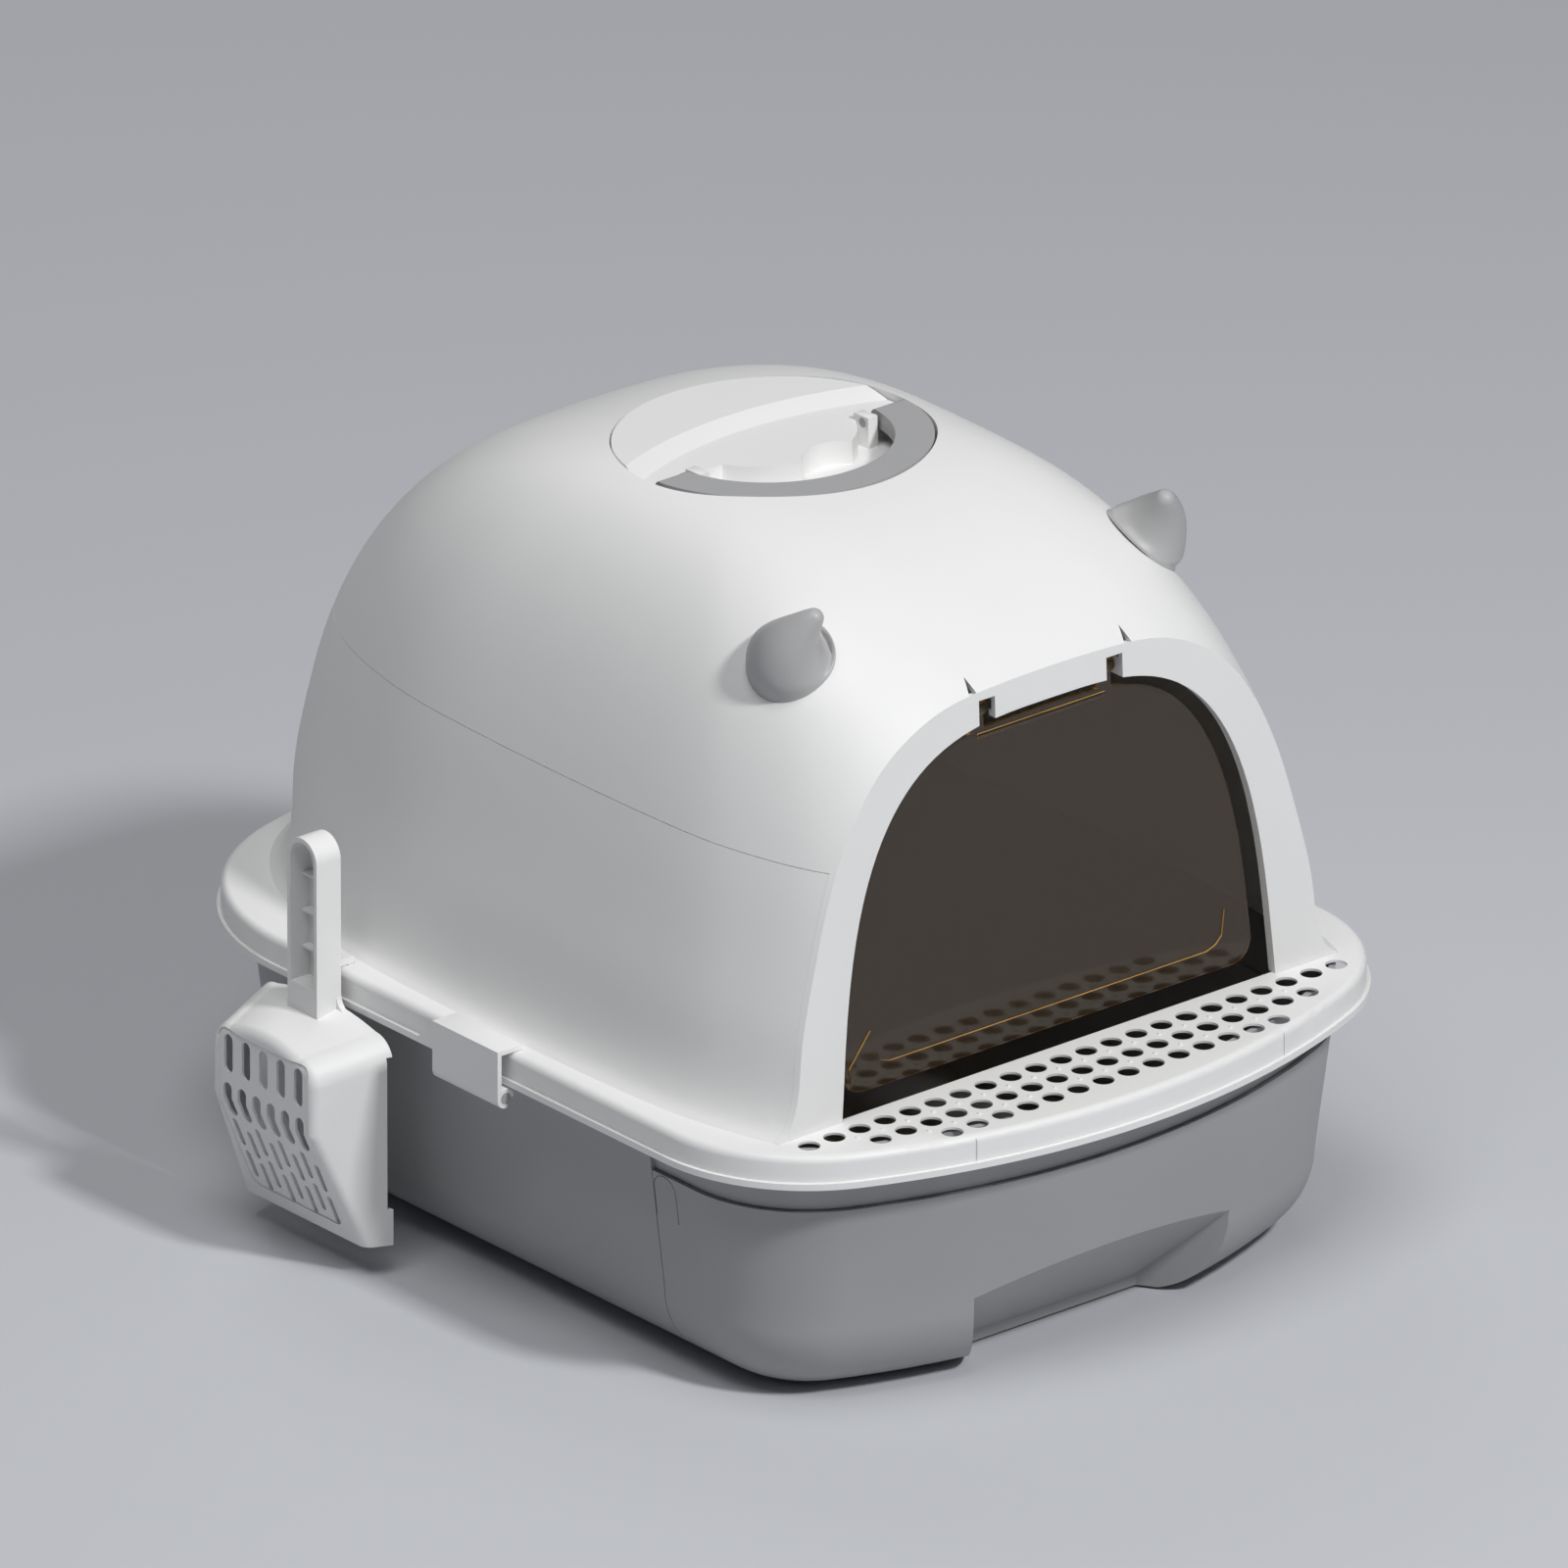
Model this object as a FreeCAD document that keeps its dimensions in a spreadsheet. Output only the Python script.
"""Covered litter box: grey base with a pull-out litter drawer, a two-part white hood with a
tinted swing door, two horns, a folding carry handle, two side clips and a hanging scoop.

Frame: +X to the right of a person facing the door, -Y out of the door, +Z up.  The origin is on
the floor, under the middle of the rim.  All lengths are millimetres.
"""
import FreeCAD
import Part
import math
import os
import re

Vector = FreeCAD.Vector
UP = Vector(0, 0, 1)

DIMENSIONS = [
    # rim: the outline of the hood's flange, seen from above
    ("rim_half_width", 211.0),
    ("rim_front", 264.0),
    ("rim_rear", 280.0),
    ("rim_front_corner", 90.0),
    ("rim_rear_corner", 115.0),
    ("rim_front_bow", 396.0),
    ("rim_rear_bow", 500.0),
    # deck: flange and step of the lower hood
    ("deck_height", 146.5),
    ("deck_plate", 3.0),
    ("deck_edge_round", 4.0),
    ("skirt_drop", 17.0),
    ("skirt_setback", 2.0),
    ("skirt_wall", 2.5),
    ("bead_height", 3.4),
    ("step_hole_pitch", 16.0),
    ("step_hole_radius", 5.5),
    ("step_back_row", 10.6),
    ("step_back_row_count", 22),
    ("step_row_count", 3),
    ("step_row_loss", 4),
    ("step_plate", 1.2),
    ("step_nub_radius", 1.7),
    ("step_nub_height", 0.9),
    ("tick_reach", 98.0),
    ("tick_width", 0.8),
    # hood dome
    ("hood_wall", 3.0),
    ("hood_half_width", 191.3),
    ("hood_top_half_width", 141.0),
    ("hood_front_reach", 268.2),
    ("hood_top_front_reach", 253.2),
    ("hood_rear_reach", 268.5),
    ("hood_top_rear_reach", 286.0),
    ("hood_rise", 257.2),
    ("hood_middle", -3.6),
    ("hood_front_plan_power", 3.39),
    ("hood_rear_plan_power", 3.1),
    ("hood_side_power", 4.18),
    ("hood_front_power", 2.44),
    ("hood_rear_power", 2.41),
    ("hood_foot_round", 13.0),
    ("seam_rise", 130.0),
    ("seam_gap", 0.4),
    ("cabin_ledge", 0.5),
    # front frame and door opening
    ("front_setback", 68.1),
    ("front_lean", 0.0368),
    ("opening_half_width", 138.0),
    ("opening_top_half_width", 123.5),
    ("opening_rise", 184.5),
    ("opening_power", 3.28),
    ("tunnel_depth", 5.0),
    ("tunnel_wall", 3.0),
    # door
    ("door_thickness", 2.6),
    ("door_side_gap", 6.5),
    ("door_roof_gap", 1.6),
    ("door_sill_gap", 7.5),
    ("door_corner_round", 12.0),
    ("door_behind_front", 9.5),
    ("door_axis_rise", 187.5),
    ("door_lug_spacing", 81.0),
    ("door_lug_width", 8.4),
    ("door_lug_radius", 4.4),
    ("door_pin_radius", 2.5),
    ("door_pin_length", 6.0),
    ("door_bead_radius", 2.0),
    ("door_strip_proud", 0.9),
    ("door_strip_tall", 12.0),
    ("door_strip_margin", 2.0),
    ("door_strip_ear_rise", 31.0),
    ("door_strip_ear_inset", 16.0),
    ("door_strip_ear_width", 12.0),
    ("notch_side_gap", 0.9),
    ("notch_top_gap", 3.4),
    ("pocket_rise", 202.4),
    ("pocket_spacing", 98.4),
    ("pocket_width", 5.4),
    ("pocket_tall", 7.8),
    # horns
    ("horn_spacing", 225.0),
    ("horn_ahead", 125.4),
    ("horn_base_radius", 22.8),
    ("horn_end_radius", 4.6),
    ("horn_fullness", 1.25),
    ("horn_start", 15.0),
    ("horn_tip_inward", 1.5),
    ("horn_tip_ahead", 18.4),
    ("horn_tip_rise", 28.5),
    ("horn_seat_depth", 1.8),
    ("horn_root", 8.0),
    ("horn_peg_radius", 6.0),
    ("horn_peg_length", 14.0),
    # carry handle and the round plate that carries it
    ("well_radius", 80.2),
    ("well_wall", 3.0),
    ("plate_middle", 21.2),
    ("plate_rise", 252.2),
    ("plate_tilt", -2.3),
    ("handle_outer_radius", 78.8),
    ("handle_inner_radius", 59.5),
    ("handle_thickness", 9.0),
    ("handle_pin_radius", 2.5),
    ("handle_axis_ahead", 7.0),
    ("handle_end_gap", 1.0),
    ("plate_radius", 79.4),
    ("plate_thickness", 3.0),
    ("moat_depth", 8.0),
    ("island_radius", 47.5),
    ("island_side", 8.0),
    ("island_back", 20.0),
    ("island_drop", 4.6),
    ("ridge_bow", 180.0),
    ("ridge_back", 26.0),
    ("ridge_slope", 11.0),
    ("finger_notch_radius", 22.0),
    ("finger_notch_side", 16.0),
    ("finger_notch_ahead", 36.0),
    ("handle_lug_width", 6.0),
    ("handle_lug_gap", 3.0),
    # base tub, drawer front and litter tray
    ("tub_inset", 16.4),
    ("tub_taper", 0.125),
    ("tub_bottom_round", 44.6),
    ("tub_wall", 3.2),
    ("tub_floor", 3.0),
    ("rail_bottom", 110.0),
    ("rail_recess", 2.4),
    ("rail_lap", 10.0),
    ("drawer_seam", 148.0),
    ("drawer_gap", 0.6),
    ("drawer_side_gap", 1.2),
    ("drawer_floor_gap", 0.3),
    ("drawer_lift", 1.5),
    ("tongue_half_width", 118.0),
    ("tongue_front", 104.0),
    ("tray_wall", 2.5),
    ("grip_half_width", 85.3),
    ("grip_rise", 53.4),
    ("grip_face", 30.0),
    ("grip_depth", 45.0),
    ("grip_back_half_width", 55.0),
    ("grip_back_rise", 7.0),
    ("grip_wall", 2.5),
    ("side_tab_width", 17.0),
    ("side_tab_top", 109.0),
    ("side_tab_tall", 24.0),
    # side clips
    ("clip_pivot_reach", 212.5),
    ("clip_pivot_height", 123.4),
    ("clip_bar_radius", 3.0),
    ("clip_knuckle_wall", 2.1),
    ("clip_thickness", 2.5),
    ("clip_front", -29.5),
    ("clip_length", 50.0),
    ("clip_ear", 13.0),
    ("clip_ear_tall", 15.0),
    ("clip_hook_reach", 13.0),
    ("clip_hook_gap", 0.4),
    ("clip_arm_width", 8.4),
    # scoop
    ("scoop_middle", 106.0),
    ("scoop_rim_half", 51.0),
    ("scoop_face_half", 38.5),
    ("scoop_rim_gap", 3.0),
    ("scoop_depth", 41.0),
    ("scoop_lip_depth", 14.5),
    ("scoop_bottom", 16.2),
    ("scoop_lip_rise", 0.8),
    ("scoop_bend", 63.8),
    ("scoop_tall", 114.8),
    ("scoop_top_fall", 8.0),
    ("scoop_top_sag", 5.0),
    ("scoop_shoulder", 13.0),
    ("scoop_edge_round", 6.0),
    ("scoop_wall", 2.4),
    ("scoop_rim_notch", 3.0),
    ("scoop_panel_half", 35.0),
    ("scoop_panel_top", 100.5),
    ("scoop_panel_low", 9.0),
    ("scoop_panel_recess", 0.9),
    ("scoop_handle_width", 22.6),
    ("scoop_handle_depth", 15.3),
    ("scoop_handle_rise", 89.6),
    ("scoop_handle_floor", 3.0),
    ("scoop_channel_rise", 11.0),
    ("scoop_handle_flare", 9.0),
    ("scoop_rib_count", 3),
    ("scoop_rib_pitch", 19.5),
    ("scoop_slot_width", 6.5),
    ("scoop_narrow_slot", 3.4),
    ("scoop_hook_width", 6.0),
    ("scoop_hook_thickness", 3.6),
    ("scoop_hook_drop", 7.0),
    ("scoop_hook_lap", 8.4),
    # clearances shared by several pieces
    ("running_fit", 0.06),
    ("seat_gap", 0.1),
    ("moving_gap", 0.4),
]

doc = FreeCAD.newDocument("covered_litter_box")
sheet = doc.addObject("Spreadsheet::Sheet", "sizes")
for row, (alias, value) in enumerate(DIMENSIONS, start=1):
    sheet.set(f"A{row}", alias)
    sheet.set(f"B{row}", str(value))
    sheet.setAlias(f"B{row}", alias)
doc.recompute()
ALIASES = {alias for alias, value in DIMENSIONS}
NODES = []


def size(alias):
    """The value of one cell of the sheet."""
    return float(sheet.get(alias))


def formula(text):
    """An expression on the sheet's cells, written with their plain names."""
    return re.sub(r"[a-z_]+", lambda m: f"sizes.{m[0]}" if m[0] in ALIASES else m[0], text)


def solid(kind, label, at=("0", "0", "0"), turn=None, **properties):
    """A Part primitive whose sizes and place are bound to the sheet."""
    made = doc.addObject(f"Part::{kind}", label)
    if turn:
        made.Placement.Rotation = turn
    for name, text in properties.items():
        made.setExpression(name, formula(text))
    for axis, text in zip("xyz", at):
        made.setExpression(f"Placement.Base.{axis}", formula(text))
    return made


def joined(label, pieces):
    """One solid from several that overlap."""
    made = doc.addObject("Part::MultiFuse", label)
    made.Shapes = pieces
    made.Refine = True
    return made


def cut(label, base, tool):
    """The base with the tool taken away."""
    made = doc.addObject("Part::Cut", label)
    made.Base = base
    made.Tool = tool
    return made


def shaped(label, shape):
    """A document object for a shape that code works out from the sheet."""
    made = doc.addObject("Part::Feature", label)
    made.Shape = shape
    return made


def node(made, name):
    """Names a finished sub-part: the label is also its file's name."""
    made.Label = name
    NODES.append(made)
    return made


ALONG_X = FreeCAD.Rotation(Vector(0, 1, 0), 90)
ALONG_Y = FreeCAD.Rotation(Vector(1, 0, 0), -90)


def block(low, high):
    """A box between two corners."""
    span = Vector(*high) - Vector(*low)
    return Part.makeBox(span.x, span.y, span.z, Vector(*low))


def prism(points, along):
    """A straight solid from a closed polygon of points."""
    return Part.Face(Part.makePolygon(points + points[:1])).extrude(along)


def rim_wire(inset, height):
    """The rim's outline moved inwards: bowed front and back, round corners, straight sides."""
    def on_circle(x, y, radius, angle):
        return Vector(x + radius * math.cos(angle), y + radius * math.sin(angle), height)

    half = []
    for way, end in ((-1, "front"), (1, "rear")):
        bow, corner = size(f"rim_{end}_bow"), size(f"rim_{end}_corner")
        bow_y = way * (size(f"rim_{end}") - bow)
        x = size("rim_half_width") - corner
        y = bow_y + way * math.sqrt((bow - corner) ** 2 - x ** 2)
        join = math.atan2(y - bow_y, x)
        half.append([on_circle(0, bow_y, bow - inset, way * math.pi / 2),
                     on_circle(x, y, corner - inset, join),
                     on_circle(x, y, corner - inset, join / 2),
                     on_circle(x, y, corner - inset, 0)])

    def mirrored(point):
        return Vector(-point.x, point.y, point.z)

    front, rear = half
    edges = [
        Part.Arc(mirrored(front[1]), front[0], front[1]),
        Part.Arc(front[1], front[2], front[3]),
        Part.LineSegment(front[3], rear[3]),
        Part.Arc(rear[3], rear[2], rear[1]),
        Part.Arc(rear[1], rear[0], mirrored(rear[1])),
        Part.Arc(mirrored(rear[1]), mirrored(rear[2]), mirrored(rear[3])),
        Part.LineSegment(mirrored(rear[3]), mirrored(front[3])),
        Part.Arc(mirrored(front[3]), mirrored(front[2]), mirrored(front[1])),
    ]
    return Part.Wire([edge.toShape() for edge in edges])


def rim_prism(inset, low, high):
    """A straight-sided solid on the rim's outline."""
    return Part.Face(rim_wire(inset, low)).extrude(Vector(0, 0, high - low))


def swell(share, power):
    """How much of a dome's width is left at a share of its height."""
    return (1 - share ** power) ** (1 / power)


def hood_section(height, skin):
    """The dome's level outline at a height over the deck, moved inwards by the skin."""
    points_round = 32
    share = max(height, 0) / (size("hood_rise") - skin)
    foot = size("hood_foot_round")
    low = max(min(height + size("deck_plate") / 2, foot), 0)
    flare = foot - math.sqrt(foot ** 2 - (foot - low) ** 2) if skin == 0 else -skin

    def reach(bottom, top, power):
        return (bottom + (top - bottom) * share) * swell(share, power) + flare

    half_width = reach(size("hood_half_width"), size("hood_top_half_width"), size("hood_side_power"))
    front = reach(size("hood_front_reach"), size("hood_top_front_reach"), size("hood_front_power"))
    rear = reach(size("hood_rear_reach"), size("hood_top_rear_reach"), size("hood_rear_power"))
    points = []
    for step in range(points_round):
        angle = 2 * math.pi * step / points_round
        across, along = math.cos(angle), math.sin(angle)
        power = 2 / size("hood_rear_plan_power" if along > 0 else "hood_front_plan_power")
        x = half_width * math.copysign(abs(across) ** power, across)
        y = (rear if along > 0 else front) * math.copysign(abs(along) ** power, along)
        points.append(Vector(x, size("hood_middle") + y, size("deck_height") + height))
    curve = Part.BSplineCurve()
    even_steps = [float(step) for step in range(points_round + 1)]
    curve.interpolate(Points=points, PeriodicFlag=True, Parameters=even_steps)
    return Part.Wire(curve.toShape())


def hood_form(skin):
    """The dome as one solid, from just under the deck's top to the flat under the round plate."""
    foot = size("hood_foot_round")
    sections = 13
    flat_share = 0.9965
    heights = [foot * (1 - math.cos(math.radians(angle))) - size("deck_plate") / 2 for angle in (20, 40, 60, 78)]
    crowding = 2.4
    last_step = 1 - (1 - flat_share) ** (1 / crowding)
    for step in range(1, sections + 1):
        share = 1 - (1 - last_step * step / sections) ** crowding
        height = share * (size("hood_rise") - skin)
        if height > heights[-1] + foot / 2:
            heights.append(height)
    return Part.makeLoft([hood_section(height, skin) for height in heights], True, False)


def front_y(height, behind=0.0):
    """Where the leaning front frame stands at a height over the deck."""
    return size("front_setback") - size("rim_front") + size("front_lean") * height + behind


def front_slab(near, far):
    """Everything between two planes parallel to the front frame."""
    wide = 2 * size("rim_half_width")
    low, high = -size("deck_height"), size("hood_rise") * 1.5
    corners = [
        Vector(-wide, front_y(low, near), size("deck_height") + low),
        Vector(-wide, front_y(high, near), size("deck_height") + high),
        Vector(-wide, front_y(high, far), size("deck_height") + high),
        Vector(-wide, front_y(low, far), size("deck_height") + low),
    ]
    return prism(corners, Vector(2 * wide, 0, 0))


def arch_point(angle, outward):
    """A point of the door opening's right half: distance from the middle, and rise."""
    power = size("opening_power")
    share = math.sin(angle) ** (2 / power)
    half = size("opening_half_width")
    half += (size("opening_top_half_width") - half) * share
    return half * math.cos(angle) ** (2 / power) + outward, size("opening_rise") * share


def arch_prism(pairs, near, far):
    """An arch through (distance, height) pairs of its right half, straight in Y."""
    right = [Vector(x, near, z) for x, z in pairs]
    left = [Vector(-point.x, near, point.z) for point in reversed(right[:-1])]
    curve = Part.BSplineCurve()
    curve.interpolate(right + left)
    sill = Part.LineSegment(left[-1], right[0])
    face = Part.Face(Part.Wire([curve.toShape(), sill.toShape()]))
    return face.extrude(Vector(0, far - near, 0))


def arch_angles():
    """Even steps up the arch, from its foot to its crown."""
    steps = 12
    return [math.pi / 2 * step / steps for step in range(steps + 1)]


def opening_prism(outward, near, far):
    """The door opening, or the outside of its tunnel, as a prism standing on the deck."""
    pairs = []
    for angle in arch_angles():
        x, rise = arch_point(angle, outward)
        if angle == math.pi / 2:
            x = 0.0
        pairs.append((x, size("deck_height") + rise * (1 + outward / size("opening_rise"))))
    return arch_prism(pairs, near, far)


def tub_form(shell, bottom, top):
    """The base's tapered outline with its round bottom edge, moved inwards by a shell."""
    radius = size("tub_bottom_round") - shell
    reference = size("deck_height") - size("skirt_drop")

    def wall_inset(height):
        return size("tub_inset") + shell + size("tub_taper") * (reference - height)

    start = bottom + radius
    round_steps = 6
    lower = []
    for step in range(round_steps + 1):
        angle = math.pi / 2 * (1 - step / round_steps)
        height = start - radius * math.sin(angle)
        lower.append(rim_wire(wall_inset(start) + radius * (1 - math.cos(angle)), height))
    round_part = Part.makeLoft(lower, True, False)
    straight_part = Part.makeLoft([lower[-1], rim_wire(wall_inset(top), top)], True, True)
    return round_part.fuse(straight_part)


def grip_wedge(grow):
    """The finger recess at the foot of the drawer front, widening towards the front."""
    front = -size("rim_front") - grow
    face = size("grip_face") - size("rim_front")
    back = face + size("grip_depth") + grow
    slope = (size("grip_half_width") - size("grip_back_half_width")) / size("grip_depth")
    fall = (size("grip_rise") - size("grip_back_rise")) / size("grip_depth")
    ahead = face - front
    low = -size("tub_floor")
    front_half = size("grip_half_width") + slope * ahead + grow
    front_top = size("grip_rise") + fall * ahead + grow
    back_half = size("grip_back_half_width") + grow
    back_top = size("grip_back_rise") + grow
    return Part.makeWedge(-front_half, front, low, low, -back_half,
                          front_half, back, front_top, back_top, back_half)


def make_base():
    """Grey base: floor, sides, back and the rail over the drawer, with the clips' bars."""
    everything = 2 * size("rim_half_width") + 2 * size("rim_rear")
    top = size("deck_height") - size("deck_plate")
    seam = size("drawer_seam") - size("rim_front")
    outer = tub_form(0, 0, top)
    shell = outer.cut(tub_form(size("tub_wall"), size("tub_floor"), top + 1))
    rear_half = block((-everything, seam + size("drawer_gap") / 2, -1), (everything, everything, top + 1))
    over_drawer = block((-everything, -everything, size("rail_bottom")), (everything, seam + size("rail_lap"), top))
    rail = tub_form(size("rail_recess"), 0, top).cut(
        tub_form(size("rail_recess") + size("tub_wall"), size("tub_floor"), top + 1)).common(over_drawer)
    tongue = block((-size("tongue_half_width"), size("tongue_front") - size("rim_front"), 0),
                   (size("tongue_half_width"), seam + size("rail_lap"), size("tub_floor")))
    body = shaped("base_shell", shell.common(rear_half).fuse([rail, tongue]).removeSplitter())
    pieces = [body]
    for side, name in ((-1, "left"), (1, "right")):
        bar_x = f"{side} * clip_pivot_reach"
        pieces.append(solid("Cylinder", f"clip_bar_{name}", turn=ALONG_Y, Radius="clip_bar_radius",
                            Height="clip_length", at=(bar_x, "clip_front", "clip_pivot_height")))
        wall = "(rim_half_width - tub_inset - tub_wall)"
        arm_left = wall if side > 0 else "-clip_pivot_reach"
        pieces.append(solid("Box", f"clip_arm_{name}", Length=f"clip_pivot_reach - {wall}",
                            Width="clip_arm_width", Height="2 * clip_bar_radius",
                            at=(arm_left, "clip_front + clip_length / 2 - clip_arm_width / 2",
                                "clip_pivot_height - clip_bar_radius")))
    return node(joined("base_joined", pieces), "base_frame")


def make_drawer():
    """The litter tray and the drawer front that wraps its front corners."""
    everything = 2 * size("rim_half_width") + 2 * size("rim_rear")
    seam = size("drawer_seam") - size("rim_front") - size("drawer_gap") / 2
    top = size("rail_bottom") - size("drawer_gap")
    tray_shell = size("tub_wall") + size("drawer_side_gap")
    tray_bottom = size("tub_floor") + size("drawer_floor_gap")
    tray_outer = tub_form(tray_shell, tray_bottom, top)
    tray_inner = tub_form(tray_shell + size("tray_wall"), tray_bottom + size("tray_wall"), top + 1)
    grip_wall = size("grip_wall")
    tray = tray_outer.cut(grip_wedge(grip_wall)).cut(tray_inner.cut(grip_wedge(grip_wall + size("tray_wall"))))
    node(shaped("tray_shape", tray), "litter_tray")

    front_region = block((-everything, -everything, size("drawer_lift")), (everything, seam, top))
    face = tub_form(0, 0, top).common(front_region)
    gap = size("moving_gap")
    tongue_room = block((-size("tongue_half_width") - gap, size("tongue_front") - size("rim_front") - gap, -1),
                        (size("tongue_half_width") + gap, 0, tray_bottom))
    front = face.cut(tray_outer).cut(tongue_room)
    pocket_wall = grip_wedge(grip_wall).common(face).cut(tongue_room)
    front = front.fuse(pocket_wall).cut(grip_wedge(0)).cut(tray)
    front = front.cut(side_tab_groove(seam))
    node(shaped("drawer_front_shape", front), "drawer_front")


def side_tab_groove(seam):
    """A shallow round-topped groove on both flanks of the drawer front, beside its seam."""
    groove = size("drawer_gap")
    radius = size("side_tab_width") / 2
    middle = seam - radius
    top = size("side_tab_top") - radius
    bottom = size("side_tab_top") - size("side_tab_tall")
    wide = 2 * size("rim_half_width")

    def tab(half):
        legs = block((-wide, middle - half, bottom), (wide, middle + half, top))
        return legs.fuse(Part.makeCylinder(half, 2 * wide, Vector(-wide, middle, top), Vector(1, 0, 0)))

    ring = tab(radius).cut(tab(radius - groove))
    deep = tub_form(groove, 0, size("rail_bottom"))
    return ring.cut(deep)


def step_holes():
    """Round litter holes in the step's thin plate, and a small nub in the middle of every four."""
    top = size("deck_height")
    pitch = size("step_hole_pitch")
    under = top - 2 * size("deck_plate")
    inside = rim_prism(size("skirt_setback") + size("skirt_wall"), under, top - size("step_plate"))
    holes, nubs = [], []
    for row in range(int(size("step_row_count"))):
        count = int(size("step_back_row_count") - row * size("step_row_loss"))
        y = size("front_setback") - size("rim_front") - size("step_back_row") - row * pitch
        end = count * pitch / 2
        relief = block((-end, y - pitch / 2, under), (end, y + pitch / 2, top))
        holes.append(relief.common(inside))
        for column in range(count):
            x = (column - (count - 1) / 2) * pitch
            holes.append(Part.makeCylinder(size("step_hole_radius"), 3 * size("deck_plate"), Vector(x, y, under)))
            if row > 0:
                nubs.append(Part.makeCone(size("step_nub_radius"), size("step_nub_radius") / 2,
                                          2 * size("step_nub_height"),
                                          Vector(x - pitch / 2, y + pitch / 2, top - size("step_nub_height"))))
    return holes, nubs


def make_hood():
    """White hood: a lower shell with flange and step, and an upper shell with the front frame."""
    deck = size("deck_height")
    wide = 3 * size("hood_front_reach")
    wall = size("hood_wall")
    seam = deck + size("seam_rise")
    gap = size("seam_gap") / 2
    outer = hood_form(0)
    room = hood_form(wall)
    under = Part.Face(hood_section(0, wall + size("cabin_ledge"))).extrude(Vector(0, 0, -2 * size("skirt_drop")))
    ahead = front_slab(-wide, wall)
    room = room.fuse(under).cut(ahead)

    below = block((-wide, -wide, 0), (wide, wide, seam - gap))
    walls = outer.common(below).cut(front_slab(-wide, wall + size("seat_gap")))
    lower = make_deck().fuse(walls).cut(room)
    node(shaped("hood_lower_shape", lower), "hood_lower")

    beside = block((-wide, -wide, 0), (wide, wide, seam + gap)).cut(ahead)
    upper = outer.cut(front_slab(-wide, 0)).cut(room).cut(beside)
    near = front_y(0) - size("tunnel_depth")
    far = front_y(size("opening_rise"), 3 * size("tunnel_depth"))
    tunnel = opening_prism(size("tunnel_wall"), near, far).common(front_slab(0, size("tunnel_depth")))
    upper = upper.fuse(tunnel).cut(opening_prism(0, near, far))
    upper = upper.cut(block((-wide, -wide, 0), (wide, wide, deck + size("seat_gap"))))
    upper = upper.fuse(handle_well().common(outer)).cut(handle_well_room())
    upper = upper.fuse(hinge_bosses()).cut(hinge_cuts()).cut(horn_holes())
    node(shaped("hood_upper_shape", upper), "hood_upper")


def make_deck():
    """The flange and step: a plate with a skirt, a bead round its foot, holes and nubs."""
    deck = size("deck_height")
    bottom = deck - size("skirt_drop")
    rim = rim_prism(size("skirt_setback"), bottom, deck)
    edges = [edge for edge in rim.Edges if all(abs(vertex.Z - deck) < 1e-6 for vertex in edge.Vertexes)]
    rim = rim.makeFillet(size("deck_edge_round"), edges)
    bead = rim_prism(0, bottom, bottom + size("bead_height"))
    inside = rim_prism(size("skirt_setback") + size("skirt_wall"), bottom - 1, deck - size("deck_plate"))
    holes, nubs = step_holes()
    return rim.fuse(bead).cut(inside).fuse(nubs).cut(holes + ticks() + [scoop_slot()])


def ticks():
    """Two fine upright lines on the front skirt that mark the ends of the step."""
    reach = size("tick_reach")
    bow = size("rim_front_bow") - size("skirt_setback")
    front = size("rim_front_bow") - size("rim_front") - math.sqrt(bow ** 2 - reach ** 2)
    half = size("tick_width") / 2
    low = size("deck_height") - size("skirt_drop") + size("bead_height")
    return [block((side * reach - half, front - 2 * size("skirt_setback"), low),
                  (side * reach + half, front + size("tick_width"), size("deck_height") + 1))
            for side in (-1, 1)]


def scoop_slot():
    """The slot in the left flange that takes the scoop's hook."""
    gap = size("moving_gap")
    half = size("scoop_hook_width") / 2 + gap
    middle = size("scoop_middle")
    reach = size("rim_half_width") - size("scoop_hook_lap")
    return block((-reach - gap, middle - half, size("deck_height") - 2 * size("deck_plate")),
                 (-reach + size("scoop_hook_thickness") + gap, middle + half, size("deck_height") + 1))


def plate_placed(shape):
    """Moves a shape from the round plate's own frame to its tilted place on the crown."""
    place = FreeCAD.Placement(
        Vector(0, size("plate_middle"), size("deck_height") + size("plate_rise")),
        FreeCAD.Rotation(Vector(1, 0, 0), size("plate_tilt")))
    return shape.transformed(place.toMatrix())


def plate_depth():
    """From the round plate's top to its underside, where it sits in the well."""
    return size("handle_thickness") + size("moat_depth") + size("plate_thickness")


def handle_well():
    """The cup in the crown that takes the round plate and the folded handle."""
    deep = plate_depth() + size("well_wall")
    return plate_placed(Part.makeCylinder(size("well_radius") + size("well_wall"), 2 * deep, Vector(0, 0, -deep)))


def handle_well_room():
    """The room inside that cup, open at the top."""
    deep = plate_depth()
    return plate_placed(Part.makeCylinder(size("well_radius"), 3 * deep, Vector(0, 0, -deep)))


def door_axis():
    """Where the door's hinge line runs: its Y and its height."""
    return front_y(size("door_axis_rise"), size("door_behind_front")), size("deck_height") + size("door_axis_rise")


def hinge_bosses():
    """A bearing block outside each notch, standing on the back of the front wall."""
    y, z = door_axis()
    half = size("door_lug_radius")
    front = y - size("door_behind_front")
    start = size("door_lug_spacing") / 2 + size("door_lug_width") / 2 + size("notch_side_gap")
    bosses = []
    for side in (-1, 1):
        ends = sorted((side * start, side * (start + size("door_pin_length"))))
        boss = block((ends[0], front + size("hood_wall") / 2, z - 2 * half), (ends[1], y + half, z + half))
        bosses.append(boss.cut(opening_prism(0, front, y + 2 * half)))
    return bosses


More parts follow.
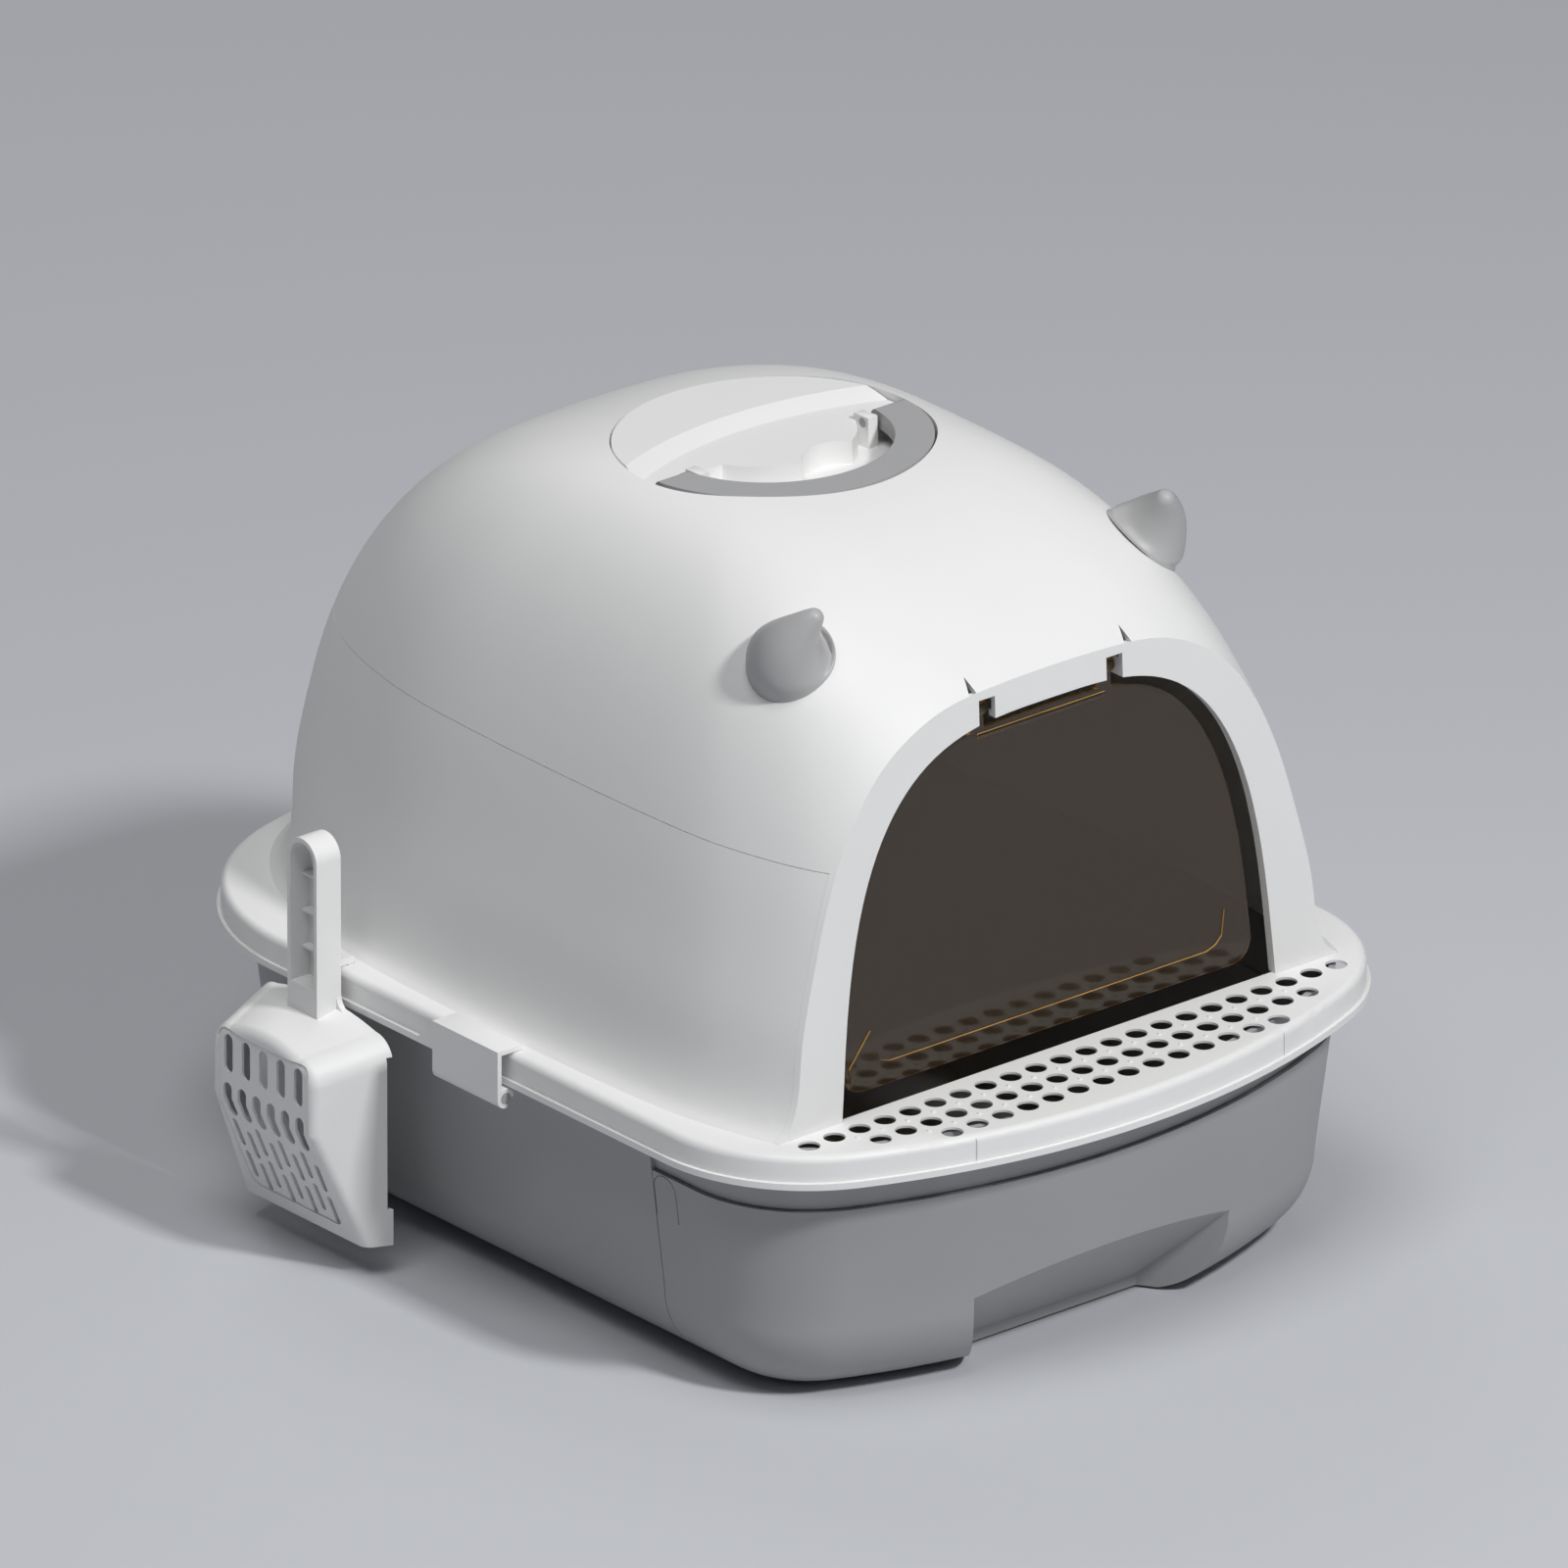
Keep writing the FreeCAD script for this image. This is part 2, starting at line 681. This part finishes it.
def hinge_cuts():
    """The notches for the door's lugs, the bearing holes and the pockets over them."""
    y, z = door_axis()
    deep = 2 * size("door_behind_front")
    cuts = []
    for side in (-1, 1):
        middle = side * size("door_lug_spacing") / 2
        half = size("door_lug_width") / 2 + size("notch_side_gap")
        roof = z + size("door_lug_radius") + size("notch_top_gap")
        cuts.append(block((middle - half, y - deep, size("deck_height") + size("opening_rise") / 2),
                          (middle + half, y + deep / 2, roof)))
        start = Vector(middle, y, z)
        length = size("door_lug_width") / 2 + size("door_pin_length")
        cuts.append(Part.makeCylinder(size("door_pin_radius") + size("running_fit"), length, start,
                                      Vector(side, 0, 0)))
        cuts.append(pocket(side))
    return cuts


def pocket(side):
    """A three-sided pocket that narrows to its top."""
    low = size("deck_height") + size("pocket_rise") - size("pocket_tall") / 2
    middle = side * size("pocket_spacing") / 2
    front = front_y(size("pocket_rise"))
    half = size("pocket_width") / 2
    corners = [Vector(middle - half, front, low), Vector(middle + half, front, low),
               Vector(middle + half / 4, front, low + size("pocket_tall"))]
    return prism(corners, Vector(0, size("door_behind_front"), 0))


def make_door():
    """Tinted swing door with two lugs, its hinge pins, a top bead and a raised foot strip."""
    y, z = door_axis()
    half = size("door_thickness") / 2
    ahead = size("door_behind_front")
    pairs = []
    for angle in arch_angles():
        x, rise = arch_point(angle, -size("door_side_gap"))
        drop = size("door_axis_rise") - rise + size("door_roof_gap")
        pairs.append((max(x, 0.0), z - math.hypot(drop, ahead)))
    pairs[-1] = (0.0, pairs[-1][1])
    sill = size("deck_height") + size("door_sill_gap")
    panel = arch_prism(pairs, y - half, y + half)
    wide = 2 * pairs[0][0]
    panel = panel.cut(block((-wide, y - 2 * half, 0), (wide, y + 2 * half, sill)))
    corners = [edge for edge in panel.Edges if len(edge.Vertexes) == 2
               and all(abs(vertex.Z - sill) < 1e-6 for vertex in edge.Vertexes)
               and abs(edge.Vertexes[0].Y - edge.Vertexes[1].Y) > half]
    panel = panel.makeFillet(size("door_corner_round"), corners)
    crown = pairs[-1][1]
    spacing = size("door_lug_spacing")
    pieces = [Part.makeCylinder(size("door_bead_radius"), spacing,
                                Vector(-spacing / 2, y, crown - 2.2 * size("door_bead_radius")), Vector(1, 0, 0))]
    for side in (-1, 1):
        middle = side * spacing / 2
        lug_half = size("door_lug_width") / 2
        radius = size("door_lug_radius")
        pieces.append(block((middle - lug_half, y - half, crown - 4 * radius), (middle + lug_half, y + half, z)))
        pieces.append(Part.makeCylinder(radius, 2 * lug_half, Vector(middle - lug_half, y, z), Vector(1, 0, 0)))
        pin = lug_half + size("door_pin_length")
        pieces.append(Part.makeCylinder(size("door_pin_radius"), pin, Vector(middle, y, z), Vector(side, 0, 0)))
    door = panel.fuse(pieces + [door_strip(panel, y - half, sill)])
    lean = math.degrees(math.atan(size("front_lean")))
    node(shaped("door_shape", door.rotate(Vector(0, y, z), Vector(1, 0, 0), -lean)), "door_flap")


def door_strip(panel, front, sill):
    """A strip along the door's foot, a little proud of it, that rises to a point at both ends."""
    margin = size("door_strip_margin")
    half = panel.BoundBox.XMax - margin
    low = sill + margin
    top = sill + size("door_strip_tall")
    ear_x = half - size("door_strip_ear_inset")
    ear = Vector(ear_x, 0, sill + size("door_strip_ear_rise"))
    corner = size("door_corner_round")
    inner = ear_x - size("door_strip_ear_width")
    right = [Vector(half - corner, 0, low), Vector(half - corner / 3, 0, low + corner / 3),
             Vector(half - margin, 0, low + corner), ear, Vector(ear_x - margin, 0, top + corner / 2),
             Vector((ear_x + inner) / 2, 0, top + margin), Vector(inner, 0, top)]
    left = [Vector(-point.x, 0, point.z) for point in reversed(right)]
    outline = [point + Vector(0, front - size("door_strip_proud"), 0) for point in right + left]
    return prism(outline, Vector(0, size("door_strip_proud") + size("door_thickness") / 2, 0))


def dome_reach(x, y, height):
    """Below one inside the dome's level outline at a height over the deck, above one outside."""
    share = height / size("hood_rise")
    end = "rear" if y > size("hood_middle") else "front"

    def reach(bottom, top, power):
        return (size(bottom) + (size(top) - size(bottom)) * share) * swell(share, size(power))

    across = abs(x) / reach("hood_half_width", "hood_top_half_width", "hood_side_power")
    along = abs(y - size("hood_middle")) / reach(f"hood_{end}_reach", f"hood_top_{end}_reach", f"hood_{end}_power")
    power = size(f"hood_{end}_plan_power")
    return across ** power + along ** power


def dome_height(x, y):
    """The height of the dome's surface over the floor, found by halving."""
    low, high = 0.0, size("hood_rise") * 0.9999
    for _ in range(40):
        middle = (low + high) / 2
        if dome_reach(x, y, middle) < 1:
            low = middle
        else:
            high = middle
    return size("deck_height") + low


def horn_place(side):
    """A horn's foot on the dome and the way straight out of the dome there."""
    x, y = side * size("horn_spacing") / 2, -size("horn_ahead")
    step = 1.0
    slope_x = (dome_height(x + step, y) - dome_height(x - step, y)) / (2 * step)
    slope_y = (dome_height(x, y + step) - dome_height(x, y - step)) / (2 * step)
    return Vector(x, y, dome_height(x, y)), Vector(-slope_x, -slope_y, 1).normalize()


def horn_holes():
    """Holes in the upper hood for the horns' pegs."""
    holes = []
    for side in (-1, 1):
        foot, way = horn_place(side)
        start = foot - way * 2 * size("horn_peg_length")
        holes.append(Part.makeCylinder(size("horn_peg_radius") + size("seat_gap"), 3 * size("horn_peg_length"),
                                       start, way))
    return holes


def horn_blank(side):
    """A bent cone: it leaves the dome squarely and curves up to a rounded tip."""
    foot, way = horn_place(side)
    tip = foot + Vector(-side * size("horn_tip_inward"), -size("horn_tip_ahead"), size("horn_tip_rise"))
    start = foot - way * size("horn_seat_depth")
    bend = start + way * size("horn_start")
    end_radius = size("horn_end_radius")
    sections = 6
    circles = [Part.Circle(start - way * size("horn_root"), way, size("horn_base_radius"))]
    for step in range(sections + 1):
        share = step / sections
        middle = start * (1 - share) ** 2 + bend * (2 * share * (1 - share)) + tip * share ** 2
        heading = (bend - start) * (1 - share) + (tip - bend) * share
        slimming = share ** size("horn_fullness")
        radius = size("horn_base_radius") + (end_radius - size("horn_base_radius")) * slimming
        circles.append(Part.Circle(middle, heading, radius))
    heading = (tip - bend).normalize()
    slope = size("horn_fullness") * (size("horn_base_radius") - end_radius) / (2 * (tip - bend).Length)
    lean = math.atan(slope)
    ball_radius = end_radius / math.cos(lean)
    ball_middle = tip - heading * ball_radius * math.sin(lean)
    rounds = 4
    for step in range(1, rounds + 1):
        turn = lean + (math.radians(80) - lean) * step / rounds
        middle = ball_middle + heading * ball_radius * math.sin(turn)
        circles.append(Part.Circle(middle, heading, ball_radius * math.cos(turn)))
    root = Part.makeCylinder(size("horn_base_radius"), size("horn_root"), circles[0].Center, way)
    wires = [Part.Wire(circle.toShape()) for circle in circles[1:]]
    return Part.makeLoft(wires, True, False).fuse(root)


def make_horns():
    """Two round-tipped horns seated on the dome, each with a peg through it."""
    dome = hood_form(0)
    for side, name in ((-1, "horn_left"), (1, "horn_right")):
        foot, way = horn_place(side)
        horn = horn_blank(side).cut(dome.translated(way * size("seat_gap")))
        horn = max(horn.Solids, key=lambda body: body.Volume)
        deep = size("horn_peg_length")
        peg = Part.makeCylinder(size("horn_peg_radius"), deep + size("horn_seat_depth"), foot - way * deep, way)
        node(shaped(f"{name}_shape", horn.fuse(peg)), name)


MOAT_FLOOR = "(-handle_thickness - moat_depth)"
PIN_END = "(handle_inner_radius - handle_lug_gap - handle_lug_width)"


def on_crown(made):
    """Places a finished piece, built round the plate's middle, on the hood's tilted crown."""
    made.Placement.Rotation = FreeCAD.Rotation(Vector(1, 0, 0), size("plate_tilt"))
    made.setExpression("Placement.Base.y", formula("plate_middle"))
    made.setExpression("Placement.Base.z", formula("deck_height + plate_rise"))
    made.setExpression("Placement.Rotation.Angle", formula("plate_tilt"))
    return made


def make_handle():
    """Grey half-round carry handle with two barrels and the stub pins it turns on."""
    disc = solid("Cylinder", "handle_disc", Radius="handle_outer_radius", Height="handle_thickness",
                 at=("0", "0", "-handle_thickness"))
    room = solid("Cylinder", "handle_room", Radius="handle_inner_radius", Height="2 * handle_thickness",
                 at=("0", "0", "-1.5 * handle_thickness"))
    behind = solid("Box", "handle_behind", Length="2 * handle_outer_radius + 2", Width="2 * handle_outer_radius",
                   Height="2 * handle_thickness",
                   at=("-handle_outer_radius - 1", "-handle_axis_ahead", "-1.5 * handle_thickness"))
    pieces = [cut("handle_band", cut("handle_ring", disc, room), behind)]
    for side, name in ((-1, "left"), (1, "right")):
        barrel_x = "handle_inner_radius" if side > 0 else "1 - handle_outer_radius"
        pieces.append(solid("Cylinder", f"handle_barrel_{name}", turn=ALONG_X, Radius="handle_thickness / 2",
                            Height="handle_outer_radius - handle_inner_radius - 1",
                            at=(barrel_x, "-handle_axis_ahead", "-handle_thickness / 2")))
        pin_x = PIN_END if side > 0 else "-handle_inner_radius - handle_lug_gap"
        pieces.append(solid("Cylinder", f"handle_pin_{name}", turn=ALONG_X, Radius="handle_pin_radius",
                            Height="handle_lug_width + 2 * handle_lug_gap",
                            at=(pin_x, "-handle_axis_ahead", "-handle_thickness / 2")))
    node(on_crown(joined("handle_joined", pieces)), "carry_handle")


def make_plate():
    """White round plate: raised back, lower island with a finger notch, and the handle's moat."""
    disc = solid("Cylinder", "plate_disc", Radius="plate_radius", Height=f"plate_thickness - {MOAT_FLOOR}",
                 at=("0", "0", f"{MOAT_FLOOR} - plate_thickness"))
    slope = solid("Cone", "plate_slope", Radius1="ridge_bow", Radius2="ridge_bow + 2 * ridge_slope",
                  Height="2 * island_drop", at=("0", "ridge_back - ridge_bow", "-island_drop"))
    moat_block = solid("Box", "moat_block", Length="4 * plate_radius", Width="2 * plate_radius",
                       Height=f"1 - {MOAT_FLOOR}",
                       at=("-2 * plate_radius",
                           "handle_thickness / 2 + handle_end_gap - handle_axis_ahead - 2 * plate_radius",
                           MOAT_FLOOR))
    island = solid("Cylinder", "plate_island", Radius="island_radius", Height=f"1 - {MOAT_FLOOR}",
                   at=("island_side", "island_back", MOAT_FLOOR))
    notch = solid("Cylinder", "finger_notch", Radius="finger_notch_radius", Height=f"1 - {MOAT_FLOOR}",
                  at=("finger_notch_side", "-finger_notch_ahead", MOAT_FLOOR))
    moat = cut("plate_moat", moat_block, cut("plate_island_bitten", island, notch))
    pieces = [cut("plate_stepped", cut("plate_ridged", disc, slope), moat)]
    holes = []
    for side, name in ((-1, "left"), (1, "right")):
        lug_x = PIN_END if side > 0 else "handle_lug_gap - handle_inner_radius"
        pieces.append(solid("Box", f"plate_lug_{name}", Length="handle_lug_width",
                            Width="handle_thickness + handle_end_gap + 1",
                            Height=f"plate_thickness / 2 - {MOAT_FLOOR} - 1",
                            at=(lug_x, "-handle_axis_ahead - handle_thickness / 2",
                                f"{MOAT_FLOOR} - plate_thickness / 2")))
        holes.append(solid("Cylinder", f"plate_lug_hole_{name}", turn=ALONG_X,
                           Radius="handle_pin_radius + running_fit", Height="handle_lug_width + 2",
                           at=(f"{lug_x} - 1", "-handle_axis_ahead", "-handle_thickness / 2")))
    solid_plate = joined("plate_joined", pieces)
    node(on_crown(cut("plate_bored", solid_plate, joined("plate_lug_holes", holes))), "top_plate")


def make_clips():
    """Two side clips: a plate on a split knuckle, with an ear and a hook over the flange."""
    plate_x = "clip_pivot_reach + clip_bar_radius + running_fit + clip_knuckle_wall - clip_thickness"
    hook_z = "deck_height + clip_hook_gap"
    knuckle_radius = "clip_bar_radius + running_fit + clip_knuckle_wall"
    plate = solid("Box", "clip_plate", Length="clip_thickness", Width="clip_length",
                  Height=f"{hook_z} + clip_thickness - clip_pivot_height",
                  at=(plate_x, "clip_front", "clip_pivot_height"))
    ear = shaped("clip_ear_plate", clip_ear())
    hook = solid("Box", "clip_hook", Length="clip_hook_reach + clip_thickness", Height="clip_thickness",
                 Width="clip_length",
                 at=(f"{plate_x} - clip_hook_reach", "clip_front", hook_z))
    barrel = solid("Cylinder", "clip_knuckle", turn=ALONG_Y, Radius=knuckle_radius, Height="clip_length",
                   at=("clip_pivot_reach", "clip_front", "clip_pivot_height"))
    bore = solid("Cylinder", "clip_bore", turn=ALONG_Y, Radius="clip_bar_radius + running_fit",
                 Height="clip_length + 2", at=("clip_pivot_reach", "clip_front - 1", "clip_pivot_height"))
    mouth = solid("Box", "clip_mouth", Length="2 * clip_bar_radius", Height="2 * clip_bar_radius",
                  Width="clip_length + 2",
                  at=("clip_pivot_reach - 2 * clip_bar_radius - clip_knuckle_wall / 2", "clip_front - 1",
                      "clip_pivot_height - 2 * clip_bar_radius"))
    arm_room = solid("Box", "clip_arm_room", Length=f"2 * ({knuckle_radius})",
                     Height=f"2 * ({knuckle_radius})", Width="clip_arm_width + 2 * moving_gap",
                     at=(f"{plate_x} - 2 * ({knuckle_radius})",
                         "clip_front + clip_length / 2 - clip_arm_width / 2 - moving_gap",
                         f"clip_pivot_height - ({knuckle_radius})"))
    blank = joined("clip_blank", [plate, ear, hook, barrel])
    right = cut("clip_shape", blank, joined("clip_cuts", [bore, mouth, arm_room]))
    node(right, "clip_right")
    left = doc.addObject("Part::Mirroring", "clip_mirror")
    left.Source = right
    left.Normal = Vector(1, 0, 0)
    node(left, "clip_left")


def clip_ear():
    """A slanting tab on the clip's rear edge that a thumb lifts."""
    outside = size("clip_pivot_reach") + size("clip_bar_radius") + size("running_fit") + size("clip_knuckle_wall")
    inside = outside - size("clip_thickness")
    rear = size("clip_front") + size("clip_length")
    top = size("deck_height") + size("clip_hook_gap") + size("clip_thickness")
    corners = [Vector(inside, rear - 1, top), Vector(inside, rear + size("clip_ear"), top - size("clip_ear_tall") + 1),
               Vector(inside, rear - 1, top - size("clip_ear_tall"))]
    return prism(corners, Vector(size("clip_thickness"), 0, 0))


def scoop_rim():
    """Where the scoop's open rim stands: a little outside the flange."""
    return -size("rim_half_width") - size("scoop_rim_gap")


def scoop_outline(x, inset):
    """The bowl's outline at one distance from the base: arched top, round shoulders, straight sides."""
    share = (scoop_rim() - x) / size("scoop_depth")
    middle = size("scoop_middle")
    half = size("scoop_rim_half") + (size("scoop_face_half") - size("scoop_rim_half")) * share - inset
    top = size("scoop_bottom") + size("scoop_tall") - size("scoop_top_fall") * share - inset
    radius = size("scoop_shoulder") - inset
    turn = top - size("scoop_top_sag") - radius
    bottom = size("scoop_bottom") / 2
    slant = radius * math.sqrt(0.5)

    def at(across, height):
        return Vector(x, middle + across, height)

    edges = [
        Part.LineSegment(at(half, bottom), at(half, turn)),
        Part.Arc(at(half, turn), at(half - radius + slant, turn + slant), at(half - radius, turn + radius)),
        Part.Arc(at(half - radius, turn + radius), at(0, top), at(radius - half, turn + radius)),
        Part.Arc(at(radius - half, turn + radius), at(radius - half - slant, turn + slant), at(-half, turn)),
        Part.LineSegment(at(-half, turn), at(-half, bottom)),
        Part.LineSegment(at(-half, bottom), at(half, bottom)),
    ]
    return Part.Wire([edge.toShape() for edge in edges])


def scoop_body(inset):
    """The scoop's bowl as a solid moved inwards by an inset, and past the rim when it hollows."""
    rim = scoop_rim()
    outside = rim - size("scoop_depth")
    low = size("scoop_bottom")
    run = size("scoop_depth") - size("scoop_lip_depth")
    rise = size("scoop_bend") - size("scoop_lip_rise")
    slant = math.hypot(run, rise)
    near = rim + 2 * inset
    high = low + 2 * size("scoop_tall")
    wide = 2 * size("scoop_rim_half")
    face = outside + inset
    bend = low + size("scoop_bend") + inset * (slant - rise) / run
    lip = rim - size("scoop_lip_depth") + inset * (slant - run) / rise
    side_view = [(near, low + inset), (lip, low + size("scoop_lip_rise") + inset), (face, bend), (face, high),
                 (near, high)]
    blade = prism([Vector(x, size("scoop_middle") - wide, z) for x, z in side_view], Vector(0, 2 * wide, 0))
    body = Part.makeLoft([scoop_outline(near, inset), scoop_outline(face, inset)], True, True).common(blade)
    side = size("scoop_face_half") / 2
    rounded = [edge for edge in body.Edges
               if all(vertex.X < lip + 1e-4 for vertex in edge.Vertexes)
               and max(vertex.Z for vertex in edge.Vertexes) > bend - 1e-4
               and (max(vertex.Z for vertex in edge.Vertexes) > bend + 1
                    or abs(edge.CenterOfMass.y - size("scoop_middle")) > side)]
    return body.makeFillet(size("scoop_edge_round") - inset, rounded)


def scoop_panel():
    """The shallow recess that frames the sieve slots on the scoop's outer face."""
    half = size("scoop_panel_half")
    middle = size("scoop_middle")
    start = -2 * size("rim_half_width")
    far = scoop_rim() - size("scoop_lip_depth") / 2
    panel = block((start, middle - half, size("scoop_bottom") + size("scoop_panel_low")),
                  (far, middle + half, size("scoop_bottom") + size("scoop_panel_top")))
    corners = [edge for edge in panel.Edges if abs(edge.Vertexes[0].X - edge.Vertexes[1].X) > half]
    panel = panel.makeFillet(size("scoop_edge_round"), corners)
    return panel.cut(scoop_body(size("scoop_panel_recess")))


def scoop_slots():
    """Sieve slots through the scoop's outer face: tall ones above, pairs of narrow ones below."""
    start = -2 * size("rim_half_width")
    far = scoop_rim() - size("scoop_lip_depth") / 2
    bend = size("scoop_bottom") + size("scoop_bend")
    span = 2 * size("scoop_panel_half")
    wide, narrow = size("scoop_slot_width"), size("scoop_narrow_slot")
    tall = 0.32 * size("scoop_bend")
    rows = [(5, bend + 1.16 * tall, wide, tall, 0), (6, bend - 0.08 * tall, wide, 0.93 * tall, 0),
            (8, bend - 1.2 * tall, narrow, 0.8 * tall, 0.12), (8, bend - 2.15 * tall, narrow, 0.8 * tall, 0.12)]
    slots = []
    for count, middle, width, height, stagger in rows:
        pitch = (span - width) / (count - 0.25)
        radius = width / 2
        straight = height / 2 - radius
        for column in range(count):
            y = size("scoop_middle") + (column - (count - 1) / 2) * pitch
            z = middle + stagger * tall * (1 if column % 2 else -1)
            slots.append(block((start, y - radius, z - straight), (far, y + radius, z + straight)))
            for end in (-straight, straight):
                slots.append(Part.makeCylinder(radius, far - start, Vector(start, y, z + end), Vector(1, 0, 0)))
    return slots


def make_scoop():
    """White litter scoop: sieve bowl, ribbed channel handle and the hook it hangs by."""
    room = scoop_body(size("scoop_wall"))
    wide = 2 * size("scoop_rim_half")
    notch = block((scoop_rim() - size("scoop_rim_notch"), size("scoop_middle") - wide,
                   size("scoop_bottom") + size("scoop_tall") / 6),
                  (scoop_rim() + 1, size("scoop_middle") + wide, size("scoop_bottom") + size("scoop_panel_top")))
    bowl = scoop_body(0).fuse(scoop_handle()).cut(room).cut(scoop_panel()).cut(scoop_slots() + [notch])
    node(shaped("scoop_shape", bowl.fuse(scoop_hook())), "scoop")


def scoop_handle():
    """The handle: a round-ended channel with cross ribs, flared where it meets the bowl."""
    middle = size("scoop_middle")
    half = size("scoop_handle_width") / 2
    wall = size("scoop_wall")
    inner = scoop_rim()
    outer = inner - size("scoop_handle_depth")
    bowl_top = size("scoop_bottom") + size("scoop_tall")
    root = bowl_top - size("scoop_shoulder")
    crown = bowl_top + size("scoop_handle_rise") - half

    def bar(near, far, radius, low):
        straight = block((near, middle - radius, low), (far, middle + radius, crown))
        return straight.fuse(Part.makeCylinder(radius, far - near, Vector(near, middle, crown), Vector(1, 0, 0)))

    channel = bar(outer - wall, inner - size("scoop_handle_floor"), half - wall,
                  bowl_top + size("scoop_channel_rise"))
    pieces = [bar(outer, inner, half, root).cut(channel)]
    for number in range(1, int(size("scoop_rib_count")) + 1):
        height = bowl_top + size("scoop_channel_rise") + (number - 0.2) * size("scoop_rib_pitch")
        pieces.append(block((outer + size("scoop_handle_depth") / 2, middle - half + wall / 2, height),
                            (inner - wall / 2, middle + half - wall / 2, height + wall / 2)))
    flare = size("scoop_handle_flare")
    seat = bowl_top - size("scoop_top_sag") / 2 + flare
    for side in (-1, 1):
        edge = middle + side * half
        ends = sorted((edge - side * wall / 2, edge + side * flare))
        thin = size("scoop_handle_floor")
        foot = block((inner - thin, ends[0], root), (inner, ends[1], seat))
        round_off = Part.makeCylinder(flare, thin, Vector(inner - thin, edge + side * flare, seat), Vector(1, 0, 0))
        pieces.append(foot.cut(round_off))
    return pieces


def scoop_hook():
    """An arm from the handle over the flange, with a tip that drops into the flange's slot."""
    deck = size("deck_height") + size("moving_gap")
    thick = size("scoop_hook_thickness")
    half = size("scoop_hook_width") / 2
    middle = size("scoop_middle")
    reach = size("scoop_hook_lap") - size("rim_half_width")
    arm = block((scoop_rim() - size("scoop_handle_floor") / 2, middle - half, deck),
                (reach + thick, middle + half, deck + thick))
    tip = block((reach, middle - half, deck - size("scoop_hook_drop")), (reach + thick, middle + half, deck + thick))
    return [arm, tip]


def finish():
    """Checks every object and writes one file per sub-part."""
    doc.recompute()
    for made in doc.Objects:
        if "Invalid" in made.State or "Error" in made.State:
            raise RuntimeError(f"{made.Label} failed: {made.State}")
    os.makedirs("parts", exist_ok=True)
    for made in NODES:
        shape = made.Shape
        if shape.isNull() or not shape.isValid():
            raise RuntimeError(f"{made.Label} has no valid shape")
        box = shape.BoundBox
        print(f"{made.Label}: {len(shape.Solids)} solid, {shape.Volume / 1000:.1f} cm3, "
              f"x {box.XMin:.1f} to {box.XMax:.1f}, y {box.YMin:.1f} to {box.YMax:.1f}, "
              f"z {box.ZMin:.1f} to {box.ZMax:.1f}")
    for made in NODES:
        made.Shape.exportStep(f"parts/{made.Label}.step")


make_base()
make_drawer()
make_hood()
make_door()
make_horns()
make_handle()
make_plate()
make_clips()
make_scoop()
finish()
